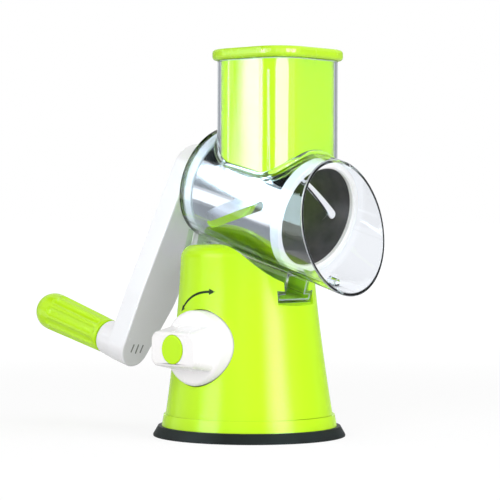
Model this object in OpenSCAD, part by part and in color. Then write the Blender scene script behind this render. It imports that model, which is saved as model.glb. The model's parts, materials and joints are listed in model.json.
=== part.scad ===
// Rotary drum shredder on a suction foot.
// Origin at the centre of the foot's underside. The outlet faces -Y, the crank is at +Y and
// the lock knob is on the -X side.

/* [Barrel and hopper] */
// Height of the drum axis straight above the middle of the foot
axis_z = 152; // [149:0.5:156]
// Downward tilt of the drum axis towards the outlet, in degrees
axis_tilt = 15.5; // [13:0.5:17]
// Distance of the barrel's rear face behind the middle of the foot, along the axis
barrel_back = 26; // [24:0.5:28]
// Outside radius of the barrel at its rear face
barrel_r = 36.4; // [35.5:0.1:38]
// Distance along the axis from the middle of the foot to the mouth
mouth_reach = 80.2; // [76:0.5:84]
// Outside radius of the barrel where the mouth crosses the axis
mouth_r = 38.1; // [37.5:0.1:40]
// Angle by which the mouth leans back from square to the axis, in degrees
mouth_rake = 24.7; // [18:0.5:28]
// Wall of the clear housing
clear_wall = 2; // [1.6:0.1:2.3]
// Outside width of the square hopper
hopper_w = 63.8; // [60:0.2:66]
// Outside corner radius of the hopper
hopper_corner = 18.5; // [16:0.5:20]
// Distance of the hopper's middle in front of the middle of the foot
hopper_front = 23; // [21:0.5:25]
// Height of the hopper's rim
hopper_top = 233.1; // [225:0.5:240]

/* [Drum] */
// Distance of the drum's front face ahead of the middle of the foot, along the axis
drum_front = 59.9; // [58:0.1:60.5]
// Outside radius of the front ring
front_ring_r = 35.2; // [35:0.1:35.4]
// Length of the front ring along the axis
front_ring_l = 6.6; // [5.5:0.1:8]
// Radius of the opening in the front ring
drum_opening_r = 30.9; // [30:0.1:31.5]
// Outside radius of the rear ring
rear_ring_r = 33.9; // [33.6:0.1:34]
// Distance of the rear ring's front edge behind the middle of the foot, along the axis
rear_ring_back = 17.8; // [17:0.1:18.5]
// Thickness of the steel sleeve
sleeve_t = 0.8; // [0.6:0.05:1]
// Number of slicing slots
slot_count = 4; // [3:1:5]
// Length of a slot along its slant
slot_len = 58; // [48:0.5:60]
// Width of a slot
slot_w = 5.2; // [4.5:0.1:5.5]
// Slant of a slot away from the axis, in degrees
slot_slant = 29; // [24:1:32]
// Height of a cutting lip above the sleeve
lip_h = 1; // [0.6:0.05:1.1]

/* [Base] */
// Height of the tower's top
base_top = 119.7; // [117:0.1:121]
// Radius of the tower at its lower edge
base_r_low = 52.3; // [51.5:0.1:52.8]
// Radius of the tower near its top
base_r_high = 41.3; // [40.5:0.1:42.5]
// Backward lean of the tower, in degrees
base_lean = 1.3; // [0:0.1:1.6]
// Radius of the tower's top edge
shoulder_r = 8; // [6:0.5:9]
// Wall of the tower
base_wall = 2.8; // [2.4:0.1:3.2]
// Radius of the saddle about the drum axis
saddle_r = 44.5; // [43.5:0.1:45.5]
// Width of the rail's flange
rail_w = 31.5; // [28:0.5:33]
// Width of the rail's web
web_w = 21.6; // [20:0.2:24]
// Thickness of the rail's flange
flange_t = 7.4; // [6.5:0.1:8]
// Thickness of the lips of the T slot
slot_lip_t = 3.6; // [3.2:0.1:4.2]
// Distance of the rail's front end ahead of the middle of the foot, along the axis
rail_front = 53.5; // [50:0.5:55]
// Height of the top of the skirt ring
skirt_top = 13.5; // [12.5:0.1:14.5]
// Radius of the skirt ring at its top
skirt_r_high = 53.6; // [53.2:0.1:54]
// Radius of the skirt ring at its bottom
skirt_r_low = 54.9; // [54.5:0.1:55.5]
// Radius of the rubber foot at the table
pad_r = 60.2; // [59:0.1:62]
// Radius of the rubber foot's top edge
pad_r_high = 57.2; // [56.5:0.1:58]
// Height of the rubber foot
pad_h = 6.2; // [5.5:0.1:7]

/* [Lock knob] */
// Height of the knob's middle
knob_z = 56.4; // [55:0.2:58]
// Distance of the knob's reference plane from the middle of the foot
knob_x = 41.9; // [41.5:0.1:42.5]
// Upward tilt of the knob's axis, in degrees
knob_tilt = 0; // [0:0.5:3]
// Radius of the knob's round body
knob_r = 23.1; // [22:0.1:24]
// Depth of the knob behind that reference, in its pocket
knob_t = 5; // [4.5:0.1:5.5]
// Height of the knob's round body above that reference
knob_rise = 10.5; // [9:0.5:12]
// Length of the raised grip
wing_l = 38; // [34:0.5:40]
// Width of the raised grip at its outer end
wing_w = 21; // [20:0.5:24]
// Width of the raised grip at its foot
wing_foot_w = 27; // [24:0.5:30]
// Height of the raised grip's outer end above the reference plane
wing_h = 26.5; // [24:0.5:28]
// Radius of the round cap
cap_r = 9; // [8:0.1:9.2]
// Throw of the eccentric pin
cam_throw = 2.2; // [1.8:0.1:2.4]

/* [Crank and grip] */
// Distance of the arm's inner face behind the middle of the foot, along the drum axis
arm_back = 40; // [39:0.5:42]
// Thickness of the arm
arm_t = 14; // [12:0.5:15]
// Length of the crank from the drum axis to the grip's axis
crank_l = 119.4; // [112:0.2:124]
// Angle of the arm from straight down, in degrees
crank_phi = 15.6; // [12:0.2:20]
// Radius of the arm's hub
hub_r = 17.5; // [16:0.1:19]
// Half the width of the arm where it starts to narrow
elbow_r = 16.6; // [15:0.1:18]
// Radius of the arm's tip
tip_r = 11.8; // [11.2:0.1:12.5]
// Length of the collar between the arm and the grip
collar_l = 13.6; // [11:0.1:15]
// Length of the grip
grip_l = 65; // [60:0.5:75]
// Radius of the grip at the collar
grip_r_near = 11; // [10.5:0.1:11.2]
// Radius of the grip at its bulb
grip_r_far = 12.3; // [12:0.1:13]
// Number of flutes round the grip
flute_count = 10; // [8:1:12]

/* [Pusher] */
// Outside width of the lid
lid_w = 69.1; // [66:0.1:72]
// Corner radius of the lid
lid_corner = 20; // [18:0.5:22]
// Thickness of the lid
lid_t = 6.6; // [6:0.1:8]
// Wall of the pusher
pusher_wall = 2.2; // [1.8:0.1:2.6]

/* [Fits] */
// Radial running clearance of a shaft in its bore
run_gap = 0.06; // [0.03:0.01:0.09]
// Clearance between pieces that slide or pass each other
slide_gap = 0.3; // [0.25:0.01:0.4]
// Clearance of the pusher in the hopper, each side
pusher_gap = 0.5; // [0.4:0.05:0.6]
// Gap round the knob in its pocket
pocket_gap = 0.6; // [0.4:0.1:0.8]

/* [Hidden] */
$fn = 96;

lime = [0.74, 0.92, 0.12];
white = [0.95, 0.95, 0.95];
clear = [0.85, 0.92, 0.95, 0.4];
steel = [0.78, 0.79, 0.8];
black = [0.12, 0.13, 0.13];

// One overrun for every cut
over = 1;
// Facets round a hulled form
hull_fn = 40;

// Barrel: the radius grows evenly from the rear face to the mouth
barrel_slope = (mouth_r - barrel_r) / (mouth_reach + barrel_back);
function barrel_outer(s) = barrel_r + (s + barrel_back) * barrel_slope;
function barrel_inner(s) = barrel_outer(s) - clear_wall;
mouth_tip = mouth_reach + saddle_r * tan(mouth_rake);
rear_wall_t = 2.4;
lug_at = 81;
lug_l = 7;
lug_w = 5;
lug_h = 5;
bush_r = 16;
bush_flange_r = 19;
bush_flange_t = 1.6;

// Sleeve and rings
ring_seat_t = 1;
ring_seat_l = 4.2;
ring_lip_t = 2.4;
ring_chamfer = 1;
sleeve_r_back = rear_ring_r - ring_seat_t;
sleeve_r_front = front_ring_r - ring_seat_t;
sleeve_end = drum_front - front_ring_l + ring_seat_l;
sleeve_start = -rear_ring_back - ring_seat_l;
sleeve_slope = (sleeve_r_front - sleeve_r_back) / (sleeve_end - sleeve_start);
function sleeve_outer(s) = sleeve_r_back + (s - sleeve_start) * sleeve_slope;
rear_ring_l = barrel_back - rear_wall_t - slide_gap - rear_ring_back;
hub_disc_t = 2.6;
slot_mid = 18.5;
slot_phase = 71.6;
slot_ramp = 8;
lip_t = 0.7;
lip_overhang = 0.5;
lip_stations = 12;

// Drive
shaft_r = 10;
square_w = 11;
square_l = 10;
socket_wall = 3;
boss_r = 14;
screw_r = 2;
screw_head_r = 4;
screw_head_t = 2.4;

// Rail, measured outwards from the drum axis
flange_top_r = saddle_r + slot_lip_t + slide_gap;
flange_bottom_r = flange_top_r + flange_t;
rail_wall = 2.4;
channel_wall = 2.6;
stop_t = 5;

// Tower outline
flare_share = 1.45;
outline_steps = 10;
shoulder_steps = 6;
function tower_r(z) = base_r_high + (base_r_low - base_r_high)
    * pow(max(0, 1 - (z - skirt_top) / (base_top - skirt_top)), flare_share);
spigot_h = 4;
spigot_gap = 0.8;
skirt_floor_t = 3;
skirt_floor_r = 44;
post_r = 4;
post_place_r = 40;
post_count = 3;
post_top = 72;
plate_z = 30;
plate_t = 3;
plate_gap = 1;
pilot_r = 1.3;
pilot_l = 12;
pad_floor_t = 3.5;
pad_lip_t = 0.9;
groove_r = 50;
groove_w = 3;
groove_d = 0.8;

// Knob and cam
shaft_main_r = 6.4;
cam_pin_r = 3.5;
cam_end_r = 3.2;
cam_near = 30;
cam_far = 51;
cam_shaft_l = 61;
cam_rest = -45;
pocket_floor_t = 3;
stem_r = 6;
stem_plate_r = 22;
stem_plate_t = 3;
stem_collar_r = 11;
stem_collar_z = 13;
stem_collar_t = 2.5;
eye_w = 14;
eye_d = 26;
eye_h = 20;
bracket_x = 12;
bracket_t = 5;
bracket_w = 18;
spring_wire_r = 0.8;
spring_r = 8.6;
spring_turns = 5;
spring_sides = 6;
spring_steps = 10;
cap_t = 2.2;
cap_dome = 0.6;
knob_bore_r = 4.4;
knob_bore_l = 14;
disc_bevel = 1.6;
wing_corner = 5;

// Grip
grip_dome_share = 0.9;
flute_r = 5;
flute_d = 1;
flute_near = 5;
spindle_r = 3.5;
spindle_head_r = 4.6;
spindle_head_l = 4;
spindle_l = 44;
spindle_root = 10;
elbow_share = 0.7;
elbow_x_share = 0.12;

// The drum axis as local Z, pointing out of the mouth, with local Y up
module along_axis(s = 0) {
    translate([0, 0, axis_z]) rotate([90 + axis_tilt, 0, 0]) translate([0, 0, s]) children();
}

// The knob's axis as local Z, pointing outwards, with local X up
module along_knob(k = 0) {
    translate([-knob_x, 0, knob_z]) rotate([0, knob_tilt - 90, 0]) translate([0, 0, k]) children();
}

// The grip's axis as local Z, pointing away from the arm
module along_grip(s = 0) {
    along_axis() rotate([0, 0, -crank_phi]) translate([0, -crank_l, -arm_back]) rotate([180, 0, 0])
        translate([0, 0, s]) children();
}

// Flat square with round corners, exact arcs
module round_square(w, r) {
    square([w, w - 2 * r], center = true);
    square([w - 2 * r, w], center = true);
    for (x = [-1, 1], y = [-1, 1]) translate([x, y] * (w / 2 - r)) circle(r);
}

// Tangent points of the bar between two circles
function tangent_points(p, r1, q, r2) = let(
    d = norm(q - p), a = atan2(q[1] - p[1], q[0] - p[0]), b = acos((r1 - r2) / d))
    [p + r1 * [cos(a + b), sin(a + b)], q + r2 * [cos(a + b), sin(a + b)],
     q + r2 * [cos(a - b), sin(a - b)], p + r1 * [cos(a - b), sin(a - b)]];

module tapered_bar(p, r1, q, r2) {
    translate(p) circle(r1);
    translate(q) circle(r2);
    polygon(tangent_points(p, r1, q, r2));
}

// Tube along the local Z axis whose radii change evenly
module cone_tube(h, r1, r2, wall) {
    difference() {
        cylinder(h = h, r1 = r1, r2 = r2);
        translate([0, 0, -over])
            cylinder(h = h + 2 * over, r1 = r1 - wall - over * (r2 - r1) / h,
                r2 = r2 - wall + over * (r2 - r1) / h);
    }
}

// Solid of the tower: the outline less a margin
module tower_solid(margin, low) {
    top = base_top - margin;
    edge = shoulder_r;
    turn = top - edge;
    rotate([-base_lean, 0, 0]) rotate_extrude()
        polygon(concat([[0, low]],
            [for (i = [0 : outline_steps]) let(z = low + (turn - low) * i / outline_steps)
                [tower_r(z) - margin, z]],
            [for (i = [1 : shoulder_steps]) let(a = 90 * i / shoulder_steps, z = turn + edge * sin(a))
                [tower_r(z) - margin - edge * (1 - cos(a)), z]],
            [[0, top]]));
}

// Room about the drum axis that the saddle leaves for the barrel
module saddle_cut(r) {
    along_axis(-base_top) cylinder(h = 2 * base_top, r = r);
}

// T-shaped bar along the rail, from the barrel's side down, grown by a margin
module rail_bar(grow, s1, s2) {
    along_axis(s1) {
        translate([-web_w / 2 - grow, -flange_bottom_r, 0])
            cube([web_w + 2 * grow, flange_bottom_r - barrel_r + clear_wall, s2 - s1]);
        translate([-rail_w / 2 - grow, -flange_bottom_r - grow, 0])
            cube([rail_w + 2 * grow, flange_t + 2 * grow, s2 - s1]);
    }
}

module base_shell() {
    channel_half = rail_w / 2 + slide_gap + channel_wall;
    channel_low = flange_bottom_r + slide_gap + channel_wall;
    stop_s = -barrel_back + slide_gap;
    pocket_r = knob_r + pocket_gap;
    color(lime) difference() {
        intersection() {
            tower_solid(0, skirt_top - over);
            translate([-pad_r, -pad_r, skirt_top]) cube([2 * pad_r, 2 * pad_r, base_top]);
        }
        saddle_cut(saddle_r);
        difference() {
            tower_solid(base_wall, skirt_top - 2 * over);
            saddle_cut(saddle_r + base_wall);
            along_axis(-base_top) translate([-channel_half, -channel_low, 0])
                cube([2 * channel_half, channel_low, 2 * base_top]);
            along_knob(-knob_t - pocket_floor_t) cylinder(h = knob_x, r = pocket_r + base_wall);
            for (i = [0 : post_count - 1]) rotate(i * 360 / post_count)
                translate([post_place_r, 0, plate_z + plate_t]) cylinder(h = post_top - plate_z, r = post_r);
        }
        rail_bar(slide_gap, -base_top, base_top);
        along_axis(-base_top) translate([-rail_w / 2 - slide_gap, -flange_bottom_r - slide_gap, 0])
            cube([rail_w + 2 * slide_gap, flange_bottom_r, base_top + stop_s]);
        along_knob(-knob_t - slide_gap) cylinder(h = knob_x, r = pocket_r);
        along_knob(-knob_x) cylinder(h = knob_x, r = shaft_main_r + run_gap);
        for (i = [0 : post_count - 1]) rotate(i * 360 / post_count)
            translate([post_place_r, 0, plate_z]) cylinder(h = plate_t + pilot_l, r = pilot_r);
    }
}

module skirt_ring() {
    spigot_r = tower_r(skirt_top + spigot_h) - base_wall - spigot_gap;
    color(lime) rotate_extrude() polygon([
        [skirt_r_low, pad_h], [skirt_r_high, skirt_top], [spigot_r, skirt_top],
        [spigot_r, skirt_top + spigot_h], [spigot_r - base_wall, skirt_top + spigot_h],
        [spigot_r - base_wall, pad_h + skirt_floor_t], [skirt_floor_r, pad_h + skirt_floor_t],
        [skirt_floor_r, pad_h]]);
}

module suction_pad() {
    color(black) rotate_extrude() polygon([
        [0, 0], [groove_r, 0], [groove_r, groove_d], [groove_r + groove_w, groove_d],
        [groove_r + groove_w, 0], [pad_r, 0], [pad_r, pad_lip_t], [pad_r_high, pad_h],
        [skirt_floor_r, pad_h], [skirt_floor_r, pad_floor_t], [0, pad_floor_t]]);
}

module guide_plate() {
    color(white) difference() {
        union() {
            translate([0, 0, plate_z])
                cylinder(h = plate_t, r = tower_r(plate_z + plate_t) - base_wall - plate_gap);
            translate([bracket_x, -bracket_w / 2, plate_z])
                cube([bracket_t, bracket_w, knob_z - plate_z + stem_r]);
        }
        translate([0, 0, plate_z - over]) cylinder(h = plate_t + 2 * over, r = stem_r + slide_gap);
        along_knob(-cam_shaft_l) cylinder(h = knob_x, r = cam_end_r + run_gap);
        along_knob(-knob_t - pocket_floor_t - plate_gap)
            cylinder(h = knob_x, r = knob_r + pocket_gap + base_wall + plate_gap);
        for (i = [0 : post_count - 1]) rotate(i * 360 / post_count)
            translate([post_place_r, 0, plate_z - over]) cylinder(h = plate_t + 2 * over, r = screw_r);
    }
}

module plate_screws() {
    color(steel) for (i = [0 : post_count - 1]) rotate(i * 360 / post_count)
        translate([post_place_r, 0, plate_z]) {
            translate([0, 0, -screw_head_t]) cylinder(h = screw_head_t, r = screw_head_r);
            cylinder(h = plate_t + pilot_l - over, r = pilot_r);
        }
}

module lift_stem() {
    // Height at which the cam shaft's axis crosses the stem
    cross_z = knob_z - knob_x * tan(knob_tilt);
    low = pad_floor_t + slide_gap;
    slot_half = cam_pin_r + slide_gap;
    drift = cam_throw * (1 - cos(cam_rest)) / 2;
    color(white) difference() {
        union() {
            translate([0, 0, low]) cylinder(h = stem_plate_t, r = stem_plate_r);
            translate([0, 0, low]) cylinder(h = cross_z - low, r = stem_r);
            translate([0, 0, stem_collar_z]) cylinder(h = stem_collar_t, r = stem_collar_r);
            translate([-eye_w / 2, -eye_d / 2, cross_z - eye_h / 2]) cube([eye_w, eye_d, eye_h]);
        }
        along_knob(-cam_far)
            translate([cam_throw * sin(cam_rest) - slot_half, cam_throw - 2 * drift - slot_half, 0])
                cube([2 * slot_half, 2 * (slot_half + drift), cam_far]);
    }
}

// Height of the spring between the stem's collar and the guide plate
spring_low = stem_collar_z + stem_collar_t + slide_gap + spring_wire_r;
spring_high = plate_z - slide_gap - spring_wire_r;

module stem_spring() {
    n = spring_turns * spring_steps;
    rise = spring_high - spring_low;
    ring = [for (i = [0 : n]) let(a = 360 * i / spring_steps, z = spring_low + rise * i / n)
        for (j = [0 : spring_sides - 1]) let(b = 360 * j / spring_sides,
            r = spring_r + spring_wire_r * cos(b))
            [r * cos(a), r * sin(a), z + spring_wire_r * sin(b)]];
    sides = [for (i = [0 : n - 1], j = [0 : spring_sides - 1]) let(a = i * spring_sides,
        k = (j + 1) % spring_sides) each [[a + j, a + spring_sides + j, a + k],
            [a + k, a + spring_sides + j, a + spring_sides + k]]];
    ends = concat([[for (j = [0 : spring_sides - 1]) j]],
        [[for (j = [0 : spring_sides - 1]) (n + 1) * spring_sides - 1 - j]]);
    color(steel) polyhedron(ring, concat(sides, ends));
}

module cam_shaft() {
    color(white) {
        difference() {
            union() {
                along_knob(-cam_near) cylinder(h = cam_near - knob_t, r = shaft_main_r);
                along_knob(-knob_t) cylinder(h = knob_bore_l, r = knob_bore_r);
            }
            along_knob(-over) cylinder(h = knob_bore_l, r = pilot_r);
        }
        along_knob(-cam_far) translate(cam_throw * [sin(cam_rest), cos(cam_rest), 0])
            cylinder(h = cam_far - cam_near + over, r = cam_pin_r);
        along_knob(-cam_shaft_l) cylinder(h = cam_shaft_l - cam_far + over, r = cam_end_r);
    }
}

// Flat bar with round corners across the knob
module knob_wing(w, h) {
    corner = wing_corner;
    for (x = [-1, 1], y = [-1, 1])
        translate([x * (w / 2 - corner), y * (wing_l / 2 - corner - (wing_w - min(w, wing_w)) / 2), 0])
            cylinder(h = h, r = corner, $fn = hull_fn);
}

module lock_knob() {
    head_k = wing_h - cap_t - screw_head_t;
    color(white) difference() {
        union() {
            along_knob(-knob_t) cylinder(h = knob_t + knob_rise - disc_bevel, r = knob_r);
            along_knob(knob_rise - disc_bevel)
                cylinder(h = disc_bevel, r1 = knob_r, r2 = knob_r - disc_bevel);
            along_knob(knob_rise - over) hull() {
                knob_wing(wing_foot_w, over);
                translate([0, 0, wing_h - knob_rise + over - 2 * disc_bevel]) knob_wing(wing_w, disc_bevel);
                translate([0, 0, wing_h - knob_rise + over - disc_bevel])
                    knob_wing(wing_w - disc_bevel, disc_bevel);
            }
        }
        along_knob(-knob_t - over) cylinder(h = knob_bore_l + over, r = knob_bore_r);
        along_knob() cylinder(h = wing_h, r = screw_r);
        along_knob(head_k - over) cylinder(h = wing_h, r = screw_head_r + slide_gap);
        along_knob(wing_h - cap_t) cylinder(h = wing_h, r = cap_r + run_gap);
    }
}

module knob_screw() {
    head_k = wing_h - cap_t - screw_head_t - over;
    color(steel) {
        along_knob(head_k) cylinder(h = screw_head_t, r = screw_head_r);
        along_knob() cylinder(h = head_k + over / 2, r = pilot_r);
    }
}

module knob_cap() {
    color(lime) {
        along_knob(wing_h - cap_t) cylinder(h = cap_t, r = cap_r);
        along_knob(wing_h) cylinder(h = cap_dome, r1 = cap_r, r2 = cap_r - cap_dome);
    }
}

// Radius of the pusher's curved foot about the drum axis
foot_r = front_ring_r + pusher_gap;
// Height of the drum axis under the hopper's rear wall
hopper_low = axis_z + (hopper_w / 2 - hopper_front) * tan(axis_tilt);

// Square prism of the hopper, from the drum axis up
module hopper_bar(margin, top) {
    translate([0, -hopper_front, hopper_low]) linear_extrude(top - hopper_low)
        round_square(hopper_w - 2 * margin, hopper_corner - margin);
}

// Everything ahead of the raked mouth
module beyond_mouth() {
    along_axis(mouth_reach) rotate([-mouth_rake, 0, 0])
        translate([-pad_r, -2 * pad_r, 0]) cube([2 * pad_r, 4 * pad_r, 2 * pad_r]);
}

module clear_housing() {
    inner_s = -barrel_back + rear_wall_t;
    color(clear) difference() {
        union() {
            along_axis(-barrel_back)
                cylinder(h = mouth_tip + barrel_back, r1 = barrel_r, r2 = barrel_outer(mouth_tip));
            hopper_bar(0, hopper_top);
            rail_bar(0, -barrel_back, rail_front);
            along_axis(-barrel_back - stop_t) translate([-rail_w / 2, -flange_bottom_r, 0])
                cube([rail_w, flange_bottom_r - barrel_r + 2 * clear_wall, stop_t]);
        }
        along_axis(inner_s) cylinder(h = mouth_tip - inner_s + over,
            r1 = barrel_inner(inner_s), r2 = barrel_inner(mouth_tip + over));
        hopper_bar(clear_wall, hopper_top + over);
        beyond_mouth();
        along_axis(-2 * barrel_back) cylinder(h = 2 * barrel_back, r = bush_r);
        along_axis(-barrel_back + rail_wall) {
            translate([-web_w / 2 + rail_wall, -flange_bottom_r + rail_wall, 0])
                cube([web_w - 2 * rail_wall, flange_bottom_r - barrel_r - 2 * rail_wall,
                    rail_front + barrel_back]);
            translate([-rail_w / 2 + rail_wall, -flange_bottom_r + rail_wall, 0])
                cube([rail_w - 2 * rail_wall, flange_t - 2 * rail_wall, rail_front + barrel_back]);
        }
    }
    color(clear) mouth_lug();
}

// Small lug on the floor of the mouth
module mouth_lug() {
    low = barrel_outer(lug_at) - clear_wall / 2;
    along_axis(lug_at - lug_l / 2) translate([-lug_w / 2, -low, 0])
        cube([lug_w, clear_wall / 2 + lug_h - lug_w / 2, lug_l]);
    along_axis(lug_at - lug_l / 2) translate([0, clear_wall / 2 + lug_h - lug_w / 2 - low, 0])
        cylinder(h = lug_l, r = lug_w / 2);
}

module rear_bush() {
    color(white) difference() {
        union() {
            along_axis(-barrel_back) cylinder(h = rear_wall_t, r = bush_r);
            along_axis(-barrel_back - bush_flange_t) cylinder(h = bush_flange_t, r = bush_flange_r);
        }
        along_axis(-2 * barrel_back) cylinder(h = 2 * barrel_back, r = shaft_r + run_gap);
    }
}

module pusher_body() {
    inner = hopper_w - 2 * clear_wall - 2 * pusher_gap;
    corner = hopper_corner - clear_wall - pusher_gap;
    low = hopper_low;
    color(lime) difference() {
        translate([0, -hopper_front, low]) linear_extrude(hopper_top - low) round_square(inner, corner);
        along_axis(-base_top) cylinder(h = 2 * base_top, r = foot_r);
        difference() {
            translate([0, -hopper_front, low]) linear_extrude(hopper_top - low + over)
                round_square(inner - 2 * pusher_wall, corner - pusher_wall);
            along_axis(-base_top) cylinder(h = 2 * base_top, r = foot_r + pusher_wall);
        }
    }
}

module pusher_lid() {
    inner = hopper_w - 2 * clear_wall - 2 * pusher_gap - 2 * pusher_wall;
    corner = hopper_corner - clear_wall - pusher_gap - pusher_wall;
    edge = lid_t / 3;
    color(lime) {
        hull() for (x = [-1, 1], y = [-1, 1])
            translate([0, -hopper_front, hopper_top + slide_gap])
                translate([x, y] * (lid_w / 2 - lid_corner)) rotate_extrude($fn = hull_fn) lid_edge(edge);
        difference() {
            translate([0, -hopper_front, hopper_top - lid_t]) linear_extrude(lid_t + slide_gap + edge)
                round_square(inner - 2 * run_gap, corner - run_gap);
            saddle_cut(foot_r + pusher_wall + slide_gap);
        }
    }
}

// Half section of one rounded corner of the lid
module lid_edge(edge) {
    r = lid_corner;
    polygon(concat([[0, 0]],
        [for (a = [-90 : 30 : 0]) [r - edge + edge * cos(a), edge + edge * sin(a)]],
        [for (a = [0 : 30 : 90]) [r - edge + edge * cos(a), lid_t - edge + edge * sin(a)]],
        [[0, lid_t]]));
}

// One slanted slot with round ends, cut through the sleeve at the top of the local frame
module slicing_slot() {
    r = sleeve_outer(slot_mid);
    translate([0, r / 2, slot_mid]) rotate([0, slot_slant, 0]) {
        translate([-slot_w / 2, 0, -slot_len / 2 + slot_w / 2]) cube([slot_w, r, slot_len - slot_w]);
        for (e = [-1, 1]) translate([0, 0, e * (slot_len - slot_w) / 2]) rotate([-90, 0, 0])
            cylinder(h = r, r = slot_w / 2);
    }
}

// Raised lip along one side of a slot: a thin blade that climbs from the sleeve to the slot's edge
module slicing_lip() {
    n = lip_stations;
    edge_len = slot_len - 2 * slot_w;
    // Point of the sleeve at u along the slot and v across it, raised by h
    function at(u, v, h) = let(
        x = v * cos(slot_slant) + u * sin(slot_slant),
        s = slot_mid + u * cos(slot_slant) - v * sin(slot_slant),
        r = sleeve_outer(s), a = asin(x / r)) [(r + h) * sin(a), (r + h) * cos(a), s];
    v0 = slot_w / 2 - lip_overhang;
    v1 = v0 + slot_ramp / 2;
    v2 = v0 + slot_ramp;
    root = -sleeve_t / 4;
    deep = -sleeve_t / 2;
    points = [for (i = [0 : n])
        let(u = edge_len * (i / n - 1 / 2), swell = sqrt(sin(180 * i / n)) * (lip_h - root)) each [
            at(u, v0, root + swell - lip_t), at(u, v0, root + swell), at(u, v1, root + swell * 2 / 3),
            at(u, v2, root), at(u, v2, deep), at(u, v1, deep)]];
    m = 6;
    sides = [for (i = [0 : n - 1], j = [0 : m - 1]) let(a = i * m, k = (j + 1) % m)
        each [[a + j, a + k, a + m + j], [a + k, a + m + k, a + m + j]]];
    ends = [[for (j = [0 : m - 1]) m - 1 - j], [for (j = [0 : m - 1]) n * m + j]];
    polyhedron(points, concat(sides, ends));
}

module drum_sleeve() {
    h = sleeve_end - sleeve_start;
    color(steel) along_axis() {
        difference() {
            translate([0, 0, sleeve_start]) cone_tube(h, sleeve_r_back, sleeve_r_front, sleeve_t);
            for (i = [0 : slot_count - 1]) rotate(180 - slot_phase + i * 360 / slot_count) slicing_slot();
        }
        for (i = [0 : slot_count - 1]) rotate(180 - slot_phase + i * 360 / slot_count) slicing_lip();
    }
}

module drum_front_ring() {
    back = drum_front - front_ring_l;
    seat_out = sleeve_r_front + run_gap;
    seat_in = sleeve_outer(back) - sleeve_t - run_gap;
    color(white) along_axis() rotate_extrude() polygon([
        [seat_out, back], [front_ring_r, back], [front_ring_r, drum_front - ring_chamfer / 2],
        [front_ring_r - ring_chamfer / 2, drum_front], [drum_opening_r + ring_chamfer, drum_front],
        [drum_opening_r, drum_front - ring_chamfer], [drum_opening_r, drum_front - ring_lip_t - ring_chamfer],
        [seat_in, drum_front - ring_lip_t - 2 * ring_chamfer], [seat_in, sleeve_end + run_gap],
        [seat_out, sleeve_end + run_gap]]);
}

module drum_rear_ring() {
    front = -rear_ring_back;
    back = front - rear_ring_l;
    seat_out = sleeve_outer(front) + run_gap;
    color(white) along_axis() rotate_extrude() polygon([
        [seat_out, front], [rear_ring_r, front], [rear_ring_r, back + ring_chamfer / 2],
        [rear_ring_r - ring_chamfer / 2, back], [drum_opening_r, back],
        [drum_opening_r, sleeve_start - run_gap], [seat_out, sleeve_start - run_gap]]);
}

module drum_hub() {
    back = -rear_ring_back - rear_ring_l;
    wall_r = sleeve_r_back - sleeve_t - run_gap;
    socket_r = square_w * sqrt(2) / 2 + socket_wall;
    color(lime) along_axis(back) difference() {
        union() {
            cylinder(h = hub_disc_t, r = drum_opening_r - run_gap);
            translate([0, 0, rear_ring_l - ring_seat_l]) cylinder(h = ring_seat_l, r = wall_r);
            cylinder(h = square_l + hub_disc_t, r = socket_r);
        }
        translate([0, 0, rear_ring_l - ring_seat_l + hub_disc_t]) difference() {
            cylinder(h = ring_seat_l, r = wall_r - socket_wall);
            translate([0, 0, -over]) cylinder(h = ring_seat_l + 2 * over, r = socket_r);
        }
        translate([-square_w / 2 - run_gap, -square_w / 2 - run_gap, -over])
            cube([square_w + 2 * run_gap, square_w + 2 * run_gap, square_l + over]);
    }
}

module drive_shaft() {
    back = -rear_ring_back - rear_ring_l;
    color(white) difference() {
        union() {
            along_axis(back) translate([-square_w / 2, -square_w / 2, 0])
                cube([square_w, square_w, square_l - over / 2]);
            along_axis(-arm_back) cylinder(h = arm_back + back - slide_gap, r = shaft_r);
            along_axis(back - over) translate([-square_w / 2, -square_w / 2, 0])
                cube([square_w, square_w, 2 * over]);
            along_axis(-arm_back - square_l + over) translate([-square_w / 2, -square_w / 2, 0])
                cube([square_w, square_w, square_l]);
        }
        along_axis(-arm_back - square_l) cylinder(h = 2 * square_l, r = pilot_r);
    }
}

module crank_arm() {
    tip = [0, -crank_l];
    elbow = [elbow_r * elbow_x_share, -crank_l * elbow_share];
    boss_l = arm_back - barrel_back - bush_flange_t - slide_gap;
    seat = square_l - over;
    color(white) difference() {
        union() {
            along_axis(-arm_back - arm_t) rotate([0, 0, -crank_phi]) linear_extrude(arm_t) {
                tapered_bar([0, 0], hub_r, elbow, elbow_r);
                tapered_bar(elbow, elbow_r, tip, tip_r);
            }
            along_axis(-arm_back - over) cylinder(h = boss_l + over, r = boss_r);
            along_grip(arm_t - over) cylinder(h = collar_l + over, r1 = tip_r, r2 = grip_r_near);
        }
        along_axis(-arm_back) cylinder(h = arm_back, r = shaft_r + run_gap);
        along_axis(-arm_back - seat) translate([-square_w / 2 - run_gap, -square_w / 2 - run_gap, 0])
            cube([square_w + 2 * run_gap, square_w + 2 * run_gap, seat + over]);
        along_axis(-arm_back - 2 * arm_t) cylinder(h = 2 * arm_t, r = screw_r);
        along_axis(-arm_back - 2 * arm_t)
            cylinder(h = arm_t + screw_head_t + over, r = screw_head_r + slide_gap);
        along_grip(arm_t + collar_l - spindle_root) cylinder(h = spindle_l, r = spindle_r);
    }
}

module crank_screw() {
    head_s = -arm_back - arm_t + over;
    color(steel) {
        along_axis(head_s) cylinder(h = screw_head_t, r = screw_head_r);
        along_axis(head_s) cylinder(h = arm_t, r = pilot_r);
    }
}

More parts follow.
